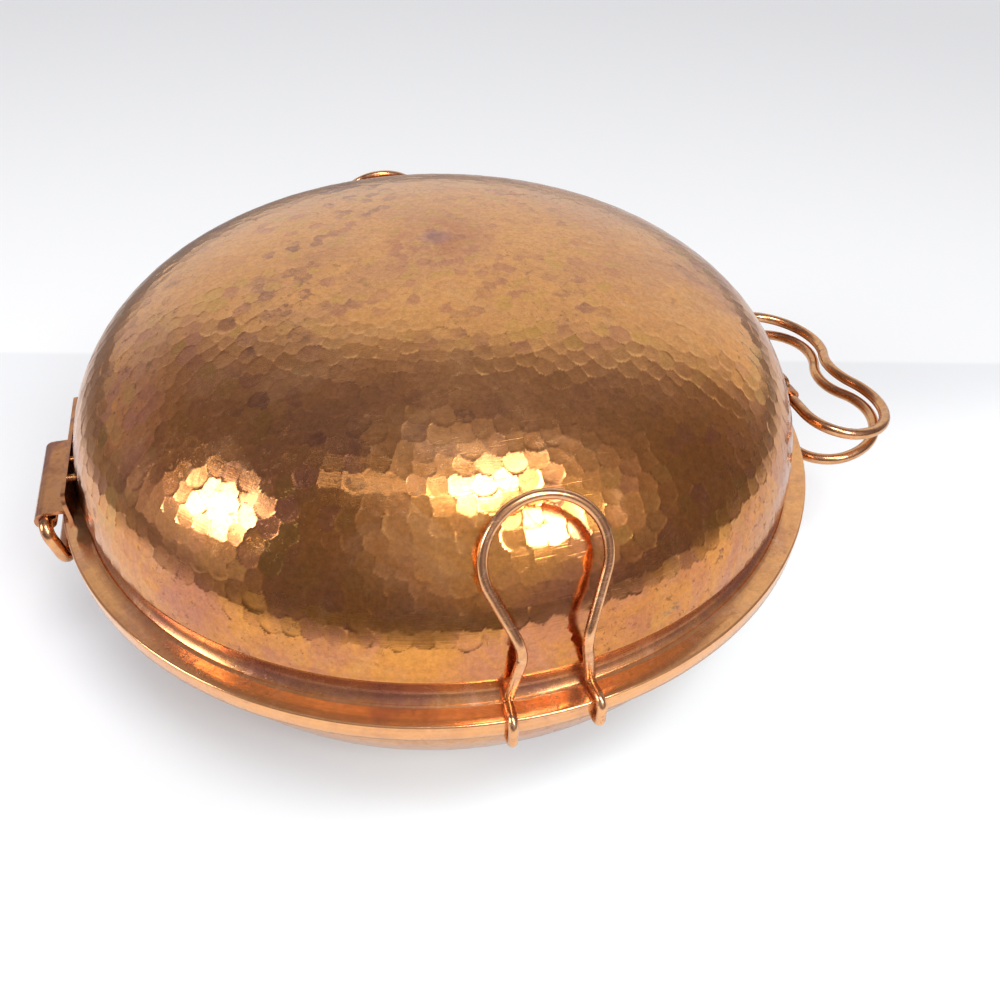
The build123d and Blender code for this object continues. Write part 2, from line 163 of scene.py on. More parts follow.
def lay_out_blows(seed):
    """Rings of hammer blows from the crown to the flank, each with its own place, depth, bowl,
    tilt and tone."""
    rng = np.random.default_rng(seed)
    lengths = [FIRST_RING]
    while lengths[-1] < OUTSIDE[0][-1] - STOP_SHORT:
        lengths.append(lengths[-1] + RING_STEP * blow_pitch(lengths[-1]))
    lengths = np.array(lengths)
    outs = np.interp(lengths, OUTSIDE[0], OUTSIDE[1])
    counts = np.maximum(np.round(2 * np.pi * outs / blow_pitch(lengths)), 3).astype(int)
    shape = (len(lengths), counts.max() + 2)
    skew = np.where(rng.random(shape) > 0.955, 2.6, 1.0)  # a few blows landed badly
    return {
        "length": lengths,
        "count": counts,
        "phase": rng.random(len(lengths)),
        "turn": rng.normal(0, 0.08, shape),
        "slip": rng.normal(0, 0.07, shape),
        "late": rng.random(shape),
        "bowl": 0.0085 * rng.uniform(0.5, 1.5, shape),
        "tilt_down": rng.normal(-0.007, 0.0095, shape) * skew,
        "tilt_round": rng.normal(0.004, 0.0095, shape) * skew,
        "tone": rng.random(shape),
    }


def hammered(s, turn, out, blows):
    """The planished face: the lowest of the nine blows round a point. A blow is a shallow tilted
    bowl inside a round edge, tilt . d + bowl d^2 / 2 + wall (d / reach - 1)^2 beyond its reach, and
    the later it fell, the deeper it lies, so its edge is a whole round one. Gives the depth in mm,
    its slopes down the flank and round it, the blow's tone, and how near the next blow comes; close
    to an edge the two blows' slopes and tones run into each other."""
    nearest = np.argmin(np.abs(blows["length"][None, :] - np.ravel(s)[:, None]), axis=1)
    nearest = nearest.reshape(np.shape(s))
    shape = np.broadcast(s, turn).shape
    low, top = np.full(shape, 9.0), np.full(shape, 9.0)
    low_down, low_around, low_tone = (np.zeros(shape) for _ in range(3))
    top_down, top_around, top_tone = (np.zeros(shape) for _ in range(3))
    for ring_step in (-1, 0, 1):
        ring = np.clip(nearest + ring_step, 0, len(blows["length"]) - 1)
        count = blows["count"][ring]
        size = blow_pitch(blows["length"][ring])
        reach = REACH * size
        place = turn / (2 * np.pi) * count - blows["phase"][ring]
        for blow_step in (-1, 0, 1):
            blow = np.floor(place).astype(int) + blow_step
            pick = (ring, np.mod(blow, count))
            across = (place - blow - 0.5 - blows["turn"][pick]) * 2 * np.pi * out / count
            along = s - blows["length"][ring] - blows["slip"][pick] * size
            bowl = blows["bowl"][pick]
            lean, roll = blows["tilt_down"][pick], blows["tilt_round"][pick]
            distance = np.maximum(np.hypot(across, along), 0.01)
            beyond = np.maximum(distance / reach - 1, 0)
            face = bowl * distance**2 / 2 + WALL * beyond**2 + lean * along + roll * across
            face = face - LATER_SUNK * blows["late"][pick] - SUNK
            steep = 2 * WALL * beyond / reach / distance
            down, around = (bowl + steep) * along + lean, (bowl + steep) * across + roll
            tone = blows["tone"][pick]
            wins, next_up = face < low, face < top
            for new, lowest, second in (
                (down, low_down, top_down), (around, low_around, top_around),
                (tone, low_tone, top_tone), (face, low, top),
            ):
                second[...] = np.where(wins, lowest, np.where(next_up, new, second))
                lowest[...] = np.where(wins, new, lowest)
    gap = top - low
    own = 0.5 + 0.5 * np.clip(gap / EDGE_GAP, 0, 1)
    down = low_down * own + top_down * (1 - own)
    around = low_around * own + top_around * (1 - own)
    tone = low_tone * own + top_tone * (1 - own)
    return np.minimum(low, 0.0), down, around, tone, gap


def outer_rings(side, lengths, count, blows):
    """Rings of the hammered outside: places, normals (the smooth normal tipped by the blow's
    slopes), tone and ridge of every vertex."""
    turn = 2 * np.pi * np.arange(count)[None, :] / count
    s = np.asarray(lengths)[:, None]
    out, height, n_out, n_up = (np.interp(s, OUTSIDE[0], column) for column in OUTSIDE[1:])
    depth, down, around, tone, gap = hammered(s, turn, out, blows)
    end = OUTSIDE[0][-1]
    weight = CROWN_SHARE + (1 - CROWN_SHARE) * np.clip((s - DEEPEN_FROM) / GROW_OVER, 0, 1)
    weight = weight * np.clip((end - s) / EDGE_FADE, 0, 1)
    if side < 0:
        foot = length_at(OUTSIDE, FOOT_OUT)
        weight = weight * np.clip((s - foot) / FOOT_FADE, 0, 1)
        flat = s <= foot
        height = np.where(flat, SEAM, height)
        n_out, n_up = np.where(flat, 0, n_out), np.where(flat, 1, n_up)
    depth, down, around = depth * weight, down * weight, around * weight
    radial, upward = out + n_out * depth, side * (height + n_up * depth)
    cos, sin = np.cos(turn), np.sin(turn)
    places = np.stack([radial * cos, radial * sin, upward], -1)
    lean_out, lean_up = n_out - n_up * down, side * (n_up + n_out * down)
    normals = np.stack([
        lean_out * cos + around * sin,
        lean_out * sin - around * cos,
        np.broadcast_to(lean_up, depth.shape),
    ], -1)
    ridge = np.clip(1 - gap / RIDGE_GAP, 0, 1) * np.minimum(weight * 2, 1)
    return places, normals, tone, ridge


def inner_rings(side, lengths, count):
    """Rings of the smooth tinned inside, their normals towards the hollow."""
    turn = 2 * np.pi * np.arange(count)[None, :] / count
    s = np.asarray(lengths)[:, None]
    out, height, n_out, n_up = (np.interp(s, INSIDE[0], column) for column in INSIDE[1:])
    if side < 0:
        flat = s <= length_at(INSIDE, FOOT_OUT)
        height = np.where(flat, SEAM - SHEET, height)
        n_out, n_up = np.where(flat, 0, n_out), np.where(flat, 1, n_up)
    cos, sin = np.cos(turn), np.sin(turn)
    level = np.ones_like(cos)
    places = np.stack([out * cos, out * sin, side * height * level], -1)
    normals = np.stack([-n_out * cos, -n_out * sin, -side * n_up * level], -1)
    return places, normals


def dome_piece(name, side, body, blows, outer_plan, inner_plan):
    """A closed ring or cap of one shell: hammered rings up the outside, tinned rings back down the
    inside. The plans list bands of rings as (count, lengths from the crown); length 0 is a pole."""
    places, normals, tones, ridges, counts = [], [], [], [], []
    for count, lengths in outer_plan:
        ring_places, ring_normals, tone, ridge = outer_rings(side, lengths, count, blows)
        places.append(ring_places.reshape(-1, 3))
        normals.append(ring_normals.reshape(-1, 3))
        tones.append(tone.ravel())
        ridges.append(ridge.ravel())
        counts += [count] * len(lengths)
    outer_count = len(counts)
    for count, lengths in inner_plan:
        ring_places, ring_normals = inner_rings(side, lengths, count)
        places.append(ring_places.reshape(-1, 3))
        normals.append(ring_normals.reshape(-1, 3))
        tones.append(np.full(count * len(lengths), 0.5))
        ridges.append(np.zeros(count * len(lengths)))
        counts += [count] * len(lengths)
    quads, triangles, ring = join_rings(counts, closed=True)
    if side < 0:
        quads, triangles = quads[:, ::-1], triangles[:, ::-1]
    vertices = np.concatenate(places) + [0, 0, SEAM]
    piece = add_piece(name, vertices, quads, triangles, body)
    inside = (ring >= outer_count - 1).astype(np.int32)
    piece.data.polygons.foreach_set("material_index", inside)
    for label, values in (("blow_tone", tones), ("blow_ridge", ridges)):
        layer = piece.data.attributes.new(label, "FLOAT", "POINT")
        layer.data.foreach_set("value", np.concatenate(values).astype(np.float32))
    normals = np.concatenate(normals)
    normals /= np.linalg.norm(normals, axis=1)[:, None]
    piece.data.normals_split_custom_set_from_vertices(normals.tolist())
    return piece


def steps(first, last, size):
    """Lengths from first towards last, about a step apart, without last itself."""
    return np.linspace(first, last, max(int(round(abs(last - first) / size)), 1) + 1)[:-1]


# where the bands of a dome meet, by distance out: the hammered side, and the tinned side
BAND_LABELS = ("flank", "flank_top", "shoulder", "shoulder_top")
BAND_ENDS, INNER_BAND_ENDS = (139.0, 121.0, 98.0, 74.0), (138.0, 120.2, 97.3, 73.4)
FLANK_ROUND = 960.0  # about the way round the flank


def dome_pieces(prefix, side, body, seed, fine):
    """One dome as bands small enough to stay light, from the flank up to the crown. fine is the
    number of vertices round the flank."""
    blows = lay_out_blows(seed)
    size = FLANK_ROUND / fine
    cuts = [OUTSIDE[0][-1]] + [length_at(OUTSIDE, out) for out in BAND_ENDS]
    inner_cuts = [INSIDE[0][-1]] + [length_at(INSIDE, out) for out in INNER_BAND_ENDS]
    made = []
    for i, label in enumerate(BAND_LABELS):
        outer = np.r_[steps(cuts[i], cuts[i + 1], size), cuts[i + 1]]
        inner = np.linspace(inner_cuts[i + 1], inner_cuts[i], 9)
        made.append(dome_piece(
            f"{prefix}_dome_{label}", side, body, blows,
            [(fine, outer)],
            [(fine // 2, inner[:1]), (fine // 4, inner[1:-1]), (fine // 2, inner[-1:])],
        ))
    bend, top = length_at(OUTSIDE, CROWN_OUT), length_at(OUTSIDE, POLE_OUT)
    rings = steps(cuts[4], bend, size * 1.1)
    inner = np.linspace(3.0, inner_cuts[4], 22)
    made.append(dome_piece(
        prefix + "_dome_crown", side, body, blows,
        [(fine, rings[:1]), (fine // 2, rings[1:]), (fine // 4, steps(bend, top, size * 1.3)),
         (fine // 8, steps(top, 0.8, size * 1.5)), (1, [0.0])],
        [(1, [0.0]), (fine // 4, inner[:-1]), (fine // 2, inner[-1:])],
    ))
    return made


# --- the rims ---------------------------------------------------------------------------------
def arc(centre, radius, start, end, count):
    """Points of a circular arc in the half section, angles in degrees from straight out."""
    turn = np.radians(np.linspace(start, end, count))
    return np.c_[centre[0] + radius * np.cos(turn), centre[1] + radius * np.sin(turn)]


def rim_section(upper):
    """The closed half section below the dome: rounded edge, hollow neck, crease, flat rim, and the
    skirt or lip turned down at its outside."""

    def dome_end(inset):
        share = (DOME_START - DOME_BASE) / (DOME_RISE - inset)
        return (DOME_OUT - inset) * (1 - share**DOME_POWER) ** (1 / DOME_POWER)

    tilt = math.radians(-EDGE_END)
    centre = (EDGE_OUT - EDGE_BEND * math.cos(tilt), EDGE_HEIGHT + EDGE_BEND * math.sin(tilt))
    bulge = arc(centre, EDGE_BEND, EDGE_START, EDGE_END, 12)
    bulge[0] = (dome_end(0.0), DOME_START)
    inner_bulge = arc(centre, EDGE_BEND - SHEET, EDGE_END, EDGE_START, 8)
    inner_bulge[-1] = (dome_end(SHEET), DOME_START)
    fall = np.linspace(0, 1, 9)[1:]
    neck = np.c_[
        EDGE_OUT + NECK_BULGE * np.sin(fall * np.pi / 2) + NECK_FLARE * fall**4,
        EDGE_HEIGHT + fall * (FLAT_TOP - EDGE_HEIGHT),
    ]
    if upper:
        flange = [(151.9, 1.72), (152.5, 1.50), (153.2, 1.36), (156.0, FLAT_TOP), (159.1, FLAT_TOP)]
        corner = arc((159.2, 0.55), 0.8, 82, 0, 7)
        skirt = [(160.0, -2.6), (160.0, -5.6), (159.8, -5.88)]
        skirt += [(159.4, -5.9), (159.0, -5.88), (158.8, -5.6)]
        under = [(158.8, -2.6), (158.8, FLAT_UNDER), (154.0, FLAT_UNDER), (150.2, FLAT_UNDER)]
    else:
        flange = [(152.6, 1.36), (156.4, FLAT_TOP), (157.1, 1.4)]
        corner = [(157.1, 3.0), (157.1, 5.1), (157.3, 5.4), (158.1, 5.4), (158.3, 5.1)]
        skirt = np.vstack([[158.3, 3.0], arc((157.5, 0.95), 0.8, 0, -90, 7)])
        under = [(154.0, FLAT_UNDER), (150.2, FLAT_UNDER)]
    inner_neck = np.c_[neck[::-1, 0] - SHEET, neck[::-1, 1]][1:-1]
    inner_start = [(EDGE_OUT - SHEET, EDGE_HEIGHT)]
    return np.vstack(
        [bulge, neck, flange, corner, skirt, under, inner_neck, inner_start, inner_bulge]
    )


RIM_SIDES, WAVE = 640, 0.02  # vertices round a rim, and how far its edge strays in mm
WAVE_FROM = 148  # the distance out from which it strays


def rim_piece(name, side, seed, body):
    """The rim's section carried round the axis, with the faint waves that spinning leaves."""
    section = rim_section(side > 0)
    turn = 2 * np.pi * np.arange(RIM_SIDES) / RIM_SIDES
    rng = np.random.default_rng(seed)
    wave = sum(
        rng.uniform(0.3, 1.0) * np.sin(k * turn + rng.uniform(0, 6.28)) for k in (3, 5, 8, 13, 21)
    ) * WAVE
    out, height = section[:, 0:1], section[:, 1:2]
    out = out - np.abs(wave)[None, :] * np.clip(out - WAVE_FROM, 0, 1)
    height = np.broadcast_to(height * side + SEAM, out.shape)
    vertices = np.stack([out * np.cos(turn), out * np.sin(turn), height], -1).reshape(-1, 3)
    quads, triangles, _ = join_rings([RIM_SIDES] * len(section), closed=True)
    if side > 0:
        quads = quads[:, ::-1]
    rim = add_piece(name, vertices, quads, triangles, body)
    rim.data.set_sharp_from_angle(angle=math.radians(38))
    return rim


# --- the clamps -------------------------------------------------------------------------------
def rounded_path(points, radii, spacing=0.5):
    """A path of straight runs with a tangent arc at each inner corner, as closely spaced points."""
    points = [np.asarray(p, float) for p in points]
    pieces = [points[0][None]]
    for before, corner, after, radius in zip(points[:-2], points[1:-1], points[2:], radii):
        into = (corner - before) / np.linalg.norm(corner - before)
        away = (after - corner) / np.linalg.norm(after - corner)
        turn = math.acos(float(np.clip(into @ away, -1, 1)))
        reach = radius * math.tan(turn / 2)
        bisector = away - into
        centre = corner + bisector / np.linalg.norm(bisector) * radius / math.cos(turn / 2)
        first = corner - into * reach - centre
        count = max(int(radius * turn / spacing), 6)
        angle = np.linspace(0, turn, count)[:, None]
        pieces.append(centre + first * np.cos(angle) + into * radius * np.sin(angle))
    pieces.append(points[-1][None])
    path = np.concatenate(pieces)
    lengths = np.r_[0, np.cumsum(np.linalg.norm(np.diff(path, axis=0), axis=1))]
    keep = np.r_[True, np.diff(lengths) > 1e-6]
    path, lengths = path[keep], lengths[keep]
    stations = np.linspace(0, lengths[-1], int(lengths[-1] / spacing) + 2)
    stations = np.unique(np.r_[stations, lengths])
    return np.c_[[np.interp(stations, lengths, path[:, i]) for i in range(3)]].T


WIRE, WIRE_SIDES = 1.7, 28  # the wire's radius, and the vertices round it
HOOK_HALF, CREASE_HALF, NECK_HALF = 14.9, 14.1, 10.0
HOOK_TIP, HOOK_BOTTOM, HOOK_TOP, HOOK_OUT, HOOK_BEND = 156.4, -8.3, 3.6, 162.2, 3.6
CREASE_BEND, NECK_BEND, LOOP = 1.2, 14.0, 19.6
WIDER, THINNER, BOXIER = 0.10, 0.24, 0.18  # what hammering does to the legs' round section
FLAT_FROM, FLAT_OVER = 4.5, 1.5  # height where the hammered stretch starts, and how soon it is full
FLAT_PAST_NECK, FLAT_FADE = 2.0, 9.0  # how far past the neck it ends, and the height it fades over
LEAN_FROM, LEAN_OVER = 8.0, 14.0  # heights over which the section takes on the loop's lean
TIP_RISE = 0.35  # height of a domed end, as a share of the wire's radius
# how each clamp was bent by hand: crease out, neck out and height, lean, neck to loop's middle
FRONT_BEND = (152.6, 154.9, 29.2, math.radians(29.0), 28.0)
REAR_BEND = (153.9, 153.0, 25.5, math.radians(32.0), 26.2)


def clamp_half(bend):
    """Half of the wire's centre line, hook tip to the loop's top, as (across, out, height)."""
    crease_out, neck_out, neck, lean, loop_centre = bend

    def on_loop(across, along):
        return across, neck_out - along * math.sin(lean), neck + along * math.cos(lean)

    reach = math.hypot(NECK_HALF, loop_centre)
    tangent = math.sqrt(reach**2 - LOOP**2)
    heading = math.atan2(loop_centre, -NECK_HALF) - math.atan2(LOOP, tangent)
    meet = (NECK_HALF + tangent * math.cos(heading), tangent * math.sin(heading))
    leg = rounded_path(
        [
            (HOOK_HALF, HOOK_TIP, HOOK_BOTTOM),
            (HOOK_HALF, HOOK_OUT, HOOK_BOTTOM),
            (HOOK_HALF, HOOK_OUT, HOOK_TOP),
            (CREASE_HALF, crease_out, HOOK_TOP),
            (NECK_HALF, neck_out, neck),
            on_loop(*meet),
        ],
        [HOOK_BEND, HOOK_BEND, CREASE_BEND, NECK_BEND],
    )
    start = math.atan2(meet[1] - loop_centre, meet[0])
    turn = np.linspace(start, math.pi / 2, 70)[1:]
    loop = np.c_[on_loop(LOOP * np.cos(turn), loop_centre + LOOP * np.sin(turn))]
    return np.concatenate([leg, loop])


def clamp_piece(name, facing, bend):
    """The clamp's wire: a round section carried along the centre line, hammered flat between the
    crease and the neck, its two ends domed."""
    half = clamp_half(bend)
    neck, lean = bend[2:4]
    line = np.concatenate([half, (half * [-1, 1, 1])[::-1][1:]])
    ahead = np.gradient(line, axis=0)
    ahead /= np.linalg.norm(ahead, axis=1)[:, None]
    height = line[:, 2]
    sign = np.where(np.arange(len(line)) < len(half), 1.0, -1.0)
    across_axis = sign[:, None] * [1.0, 0, 0]
    # (across, out, up) is a left-handed set, so cross products are taken the other way round
    leg_back = -np.cross(ahead, across_axis)
    loop_back = -np.array([0, math.cos(lean), math.sin(lean)])
    weight = np.clip((height - LEAN_FROM) / LEAN_OVER, 0, 1)[:, None]
    back = leg_back * (1 - weight) + loop_back * weight
    back -= (back * ahead).sum(1)[:, None] * ahead
    back /= np.linalg.norm(back, axis=1)[:, None]
    side = np.cross(ahead, back)
    on_leg = np.clip((height - FLAT_FROM) / FLAT_OVER, 0, 1)
    on_leg = on_leg * np.clip((neck + FLAT_PAST_NECK - height) / FLAT_FADE, 0, 1)
    width = WIRE * (1 + WIDER * on_leg)
    depth = WIRE * (1 - THINNER * on_leg)
    turn = 2 * np.pi * np.arange(WIRE_SIDES) / WIRE_SIDES
    box_power = (1 - BOXIER * on_leg)[:, None]
    cos = np.sign(np.cos(turn)) * np.abs(np.cos(turn))[None, :] ** box_power
    sin = np.sign(np.sin(turn)) * np.abs(np.sin(turn))[None, :] ** box_power
    rings = (
        line[:, None, :]
        + side[:, None, :] * (cos * width[:, None])[:, :, None]
        + back[:, None, :] * (sin * depth[:, None])[:, :, None]
    )
    cap = np.linspace(0, 1, 5)[1:-1]

    def domed_end(end, away, ring):
        """The tip of one end, and the rings between the tip and the wire's last full section."""
        tip = away * WIRE * TIP_RISE
        return end + tip, [
            end + tip * (1 - c) + (ring - end) * math.sqrt(1 - (1 - c) ** 2) for c in cap
        ]

    first_tip, start = domed_end(line[0], -ahead[0], rings[0])
    last_tip, end = domed_end(line[-1], ahead[-1], rings[-1])
    vertices = np.concatenate([first_tip[None], *start, *rings, *end[::-1], last_tip[None]])
    counts = [1, *[WIRE_SIDES] * (len(cap) * 2 + len(line)), 1]
    quads, triangles, _ = join_rings(counts)
    facing = math.radians(facing)
    outward = np.array([math.cos(facing), math.sin(facing), 0])
    sideways = np.array([-math.sin(facing), math.cos(facing), 0])
    across, out, height = vertices[:, 0:1], vertices[:, 1:2], vertices[:, 2:3]
    placed = across * sideways + out * outward + (height + SEAM) * np.array([0, 0, 1.0])
    return add_piece(name + "_wire", placed, quads, triangles, name)


# --- finishes ---------------------------------------------------------------------------------
class Graph:
    """A short way to write a node tree: node() adds one and links or sets its inputs."""

    def __init__(self, tree):
        self.tree = tree

    def put(self, value, socket):
        if isinstance(value, bpy.types.NodeSocket):
            self.tree.links.new(value, socket)
        else:
            socket.default_value = value

    def node(self, kind, inputs=None, **settings):
        item = self.tree.nodes.new(kind)
        for key, value in settings.items():
            setattr(item, key, value)
        for key, value in (inputs or {}).items():
            self.put(value, item.inputs[key])
        return item

    def math(self, operation, a, b=0.0, c=0.0, clamp=False):
        return self.node(
            "ShaderNodeMath", {0: a, 1: b, 2: c}, operation=operation, use_clamp=clamp
        ).outputs[0]

    def add(self, a, b):
        return self.math("ADD", a, b)

    def times(self, a, b, clamp=False):
        return self.math("MULTIPLY", a, b, clamp=clamp)

    def ramp(self, value, low, high, to_low=0.0, to_high=1.0):
        """Smoothly from to_low at low to to_high at high."""
        return self.node(
            "ShaderNodeMapRange",
            {0: value, 1: low, 2: high, 3: to_low, 4: to_high},
            interpolation_type="SMOOTHSTEP",
        ).outputs[0]

    def scratched(self, value, scratches, share):
        """A relief with the scratches cut into it."""
        return self.math("SUBTRACT", value, self.times(scratches, share))

    def mix(self, factor, first, second, blend="MIX"):
        item = self.node("ShaderNodeMix", data_type="RGBA", blend_type=blend)
        for index, value in ((0, factor), (6, first), (7, second)):
            self.put(value, item.inputs[index])
        return item.outputs[2]

    def noise(self, vector, scale, detail=4.0, rough=0.55, distortion=0.0):
        return self.node(
            "ShaderNodeTexNoise",
            {"Vector": vector, "Scale": scale, "Detail": detail, "Roughness": rough,
             "Distortion": distortion},
        ).outputs["Fac"]

    def xyz(self, vector):
        return self.node("ShaderNodeSeparateXYZ", {0: vector}).outputs

    def along(self, vector, axis):
        """How far a vector reaches along an axis."""
        return self.node(
            "ShaderNodeVectorMath", {0: vector, 1: tuple(axis)}, operation="DOT_PRODUCT"
        ).outputs["Value"]

    def from_axis(self, vector):
        """Distance from the Z axis."""
        x, y, _ = self.xyz(vector)
        return self.math("SQRT", self.add(self.times(x, x), self.times(y, y)))


def new_group(name, inputs, outputs):
    """An empty shader node group with named sockets; returns its graph, inputs and output node."""
    tree = bpy.data.node_groups.new(name, "ShaderNodeTree")
    add_socket = tree.interface.new_socket
    for label, kind, value in inputs:
        socket = add_socket(name=label, in_out="INPUT", socket_type="NodeSocket" + kind)
        if value is not None:
            socket.default_value = value
    for label, kind in outputs:
        add_socket(name=label, in_out="OUTPUT", socket_type="NodeSocket" + kind)
    graph = Graph(tree)
    return graph, graph.node("NodeGroupInput").outputs, graph.node("NodeGroupOutput")


def spun_lines_group():
    """Fine lines left by turning and polishing about the Z axis: noise that is quick along the
    section and slow round the axis."""
    graph, given, result = new_group(
        "spun_lines",
        [("Vector", "Vector", None), ("Lines per metre", "Float", 2200.0)],
        [("Lines", "Float")],
    )
    parts = graph.xyz(given["Vector"])
    out = graph.from_axis(given["Vector"])
    fine, slow = given["Lines per metre"], 26.0
    vector = graph.node("ShaderNodeCombineXYZ", {
        0: graph.add(graph.times(out, fine), graph.times(parts[0], slow)),
        1: graph.add(graph.times(parts[2], fine), graph.times(parts[1], slow)),
        2: graph.times(parts[0], slow),
    }).outputs[0]
    graph.put(graph.noise(vector, 1.0, 3.0, 0.6), result.inputs["Lines"])
    return graph.tree


def scratches_group():
    """Fine scratches in three directions: noise drawn out into needles, kept only at its peaks and
    broken up by a broad noise."""
    graph, given, result = new_group(
        "scratches",
        [("Vector", "Vector", None), ("Amount", "Float", 1.0)],
        [("Scratches", "Float")],
    )
    vector = given["Vector"]
    total = None
    for turn, patches in (
        ((0.2, 0.1, 0.35), 15.3),
        ((-0.15, 0.25, -0.75), 22.1),
        ((0.1, -0.2, 1.45), 11.9),
    ):
        drawn = graph.node(
            "ShaderNodeMapping",
            {"Vector": vector, "Rotation": turn, "Scale": (16.0, 1500.0, 1500.0)},
        ).outputs[0]
        lines = graph.ramp(graph.noise(drawn, 1.0, 2.0, 0.5), 0.635, 0.72)
        patch = graph.ramp(graph.noise(vector, patches, 3.0), 0.46, 0.60)
        one = graph.times(lines, patch)
        total = one if total is None else graph.math("MAXIMUM", total, one)
    graph.put(graph.times(total, given["Amount"], clamp=True), result.inputs["Scratches"])
    return graph.tree


def patina_group():
    """Colour and haze of handled copper: clean metal, broad brown and violet clouds, pale hazy
    streaks, and small dark spots in loose swarms."""
    graph, given, result = new_group(
        "patina",
        [
            ("Vector", "Vector", None),
            ("Clean", "Color", (0.8, 0.4, 0.2, 1)),
            ("Brown", "Color", (0.5, 0.25, 0.12, 1)),
            ("Violet", "Color", (0.35, 0.16, 0.13, 1)),
            ("Pale", "Color", (0.8, 0.5, 0.36, 1)),
            ("Spot", "Color", (0.2, 0.12, 0.08, 1)),
            ("Cloud scale", "Float", 14.0),
            ("Brown amount", "Float", 0.7),
            ("Violet amount", "Float", 0.4),
            ("Pale amount", "Float", 0.5),
            ("Spot amount", "Float", 0.5),
        ],
        [("Color", "Color"), ("Haze", "Float")],
    )
    vector, scale = given["Vector"], given["Cloud scale"]
    broad = graph.noise(vector, scale, 5.0, 0.6, 0.4)
    medium = graph.noise(vector, graph.times(scale, 6.0), 5.0, 0.62, 0.8)
    both = graph.add(graph.times(broad, 0.6), graph.times(medium, 0.4))
    brown = graph.times(graph.ramp(both, 0.44, 0.62), given["Brown amount"])
    moved = graph.node(
        "ShaderNodeVectorMath", {0: vector, 1: (0.37, 0.11, 0.53)}, operation="ADD"
    ).outputs[0]
    violet = graph.times(
        graph.ramp(graph.noise(moved, graph.times(scale, 1.6), 5.0, 0.6, 0.9), 0.50, 0.66),
        given["Violet amount"],
    )
    pale = graph.times(
        graph.ramp(graph.noise(moved, graph.times(scale, 2.3), 6.0, 0.68, 1.6), 0.50, 0.66),
        given["Pale amount"],
    )
    color = graph.mix(brown, given["Clean"], given["Brown"])
    color = graph.mix(violet, color, given["Violet"])
    color = graph.mix(pale, color, given["Pale"])
    swarm = graph.ramp(graph.noise(vector, 17.0, 3.0, 0.5), 0.47, 0.62)
    speck = graph.ramp(graph.noise(vector, 360.0, 5.0, 0.7), 0.575, 0.64)
    stain = graph.ramp(graph.noise(vector, 80.0, 6.0, 0.72, 1.5), 0.60, 0.68)
    dark = graph.math("MAXIMUM", graph.times(swarm, speck), graph.times(stain, 0.6))
    dark = graph.times(dark, given["Spot amount"], clamp=True)
    color = graph.mix(dark, color, given["Spot"])
    haze = graph.add(graph.times(brown, 0.08), graph.times(pale, 0.14))
    haze = graph.add(haze, graph.times(dark, 0.25))
    graph.put(color, result.inputs["Color"])
    graph.put(haze, result.inputs["Haze"])
    return graph.tree


SPUN, SCRATCHES, PATINA = spun_lines_group(), scratches_group(), patina_group()
PATINA_COLORS = ("Clean", "Brown", "Violet", "Pale", "Spot")
PATINA_AMOUNTS = ("Cloud scale", "Brown amount", "Violet amount", "Pale amount", "Spot amount")
# heights in metres at which the dome starts to look like its crown, and like its low flank, which
# is painted darker as shade
CROWN_HEIGHTS, LOW_SHADE_HEIGHTS = (0.146, 0.166), (0.138, 0.112)
COPPER_RELIEF = 0.000014  # metres


def start_metal(name, colors, amounts):
    """A metal with its patina, spun lines and scratches placed, ready to be finished. colors are
    clean, brown, violet, pale, spot; amounts are cloud scale and how much of the last four."""
    material = bpy.data.materials.new(name)
    material.use_nodes = True
    graph = Graph(material.node_tree)
    shader = material.node_tree.nodes["Principled BSDF"]
    shader.inputs["Metallic"].default_value = 1.0
    place = graph.node("ShaderNodeTexCoord").outputs["Object"]
    patina = graph.node("ShaderNodeGroup", node_tree=PATINA)
    spun = graph.node("ShaderNodeGroup", node_tree=SPUN)
    worn = graph.node("ShaderNodeGroup", node_tree=SCRATCHES)
    for item in (patina, spun, worn):
        graph.put(place, item.inputs["Vector"])
    for label, color in zip(PATINA_COLORS, colors):
        patina.inputs[label].default_value = (*color, 1)
    for label, amount in zip(PATINA_AMOUNTS, amounts):
        patina.inputs[label].default_value = amount
    return material, graph, shader, place, patina, spun, worn


def finish_metal(graph, shader, color, roughness, height, distance):
    """Links the finished colour, roughness and relief to the shader."""
    graph.put(color, shader.inputs["Base Color"])
    roughness = graph.math("MINIMUM", graph.math("MAXIMUM", roughness, 0.05), 0.8)
    graph.put(roughness, shader.inputs["Roughness"])
    bump = graph.node("ShaderNodeBump", {"Strength": 1.0, "Distance": distance, "Height": height})
    graph.put(bump.outputs[0], shader.inputs["Normal"])


def plain_metal(name, colors, amounts, roughness, lines, line_rough=0.08, relief=0.00001):
    """Patina and drawing or turning lines, faint scratches in colour-neutral relief."""
    material, graph, shader, place, patina, spun, worn = start_metal(name, colors, amounts)
    spun.inputs["Lines per metre"].default_value = lines
    centred = graph.math("SUBTRACT", spun.outputs["Lines"], 0.5)
    scratches = worn.outputs["Scratches"]
    rough = graph.add(patina.outputs["Haze"], roughness)
    rough = graph.add(rough, graph.times(centred, line_rough))
    rough = graph.add(rough, graph.times(scratches, 0.10))
    height = graph.scratched(spun.outputs["Lines"], scratches, 0.6)
    finish_metal(graph, shader, patina.outputs["Color"], rough, height, relief)
    return material


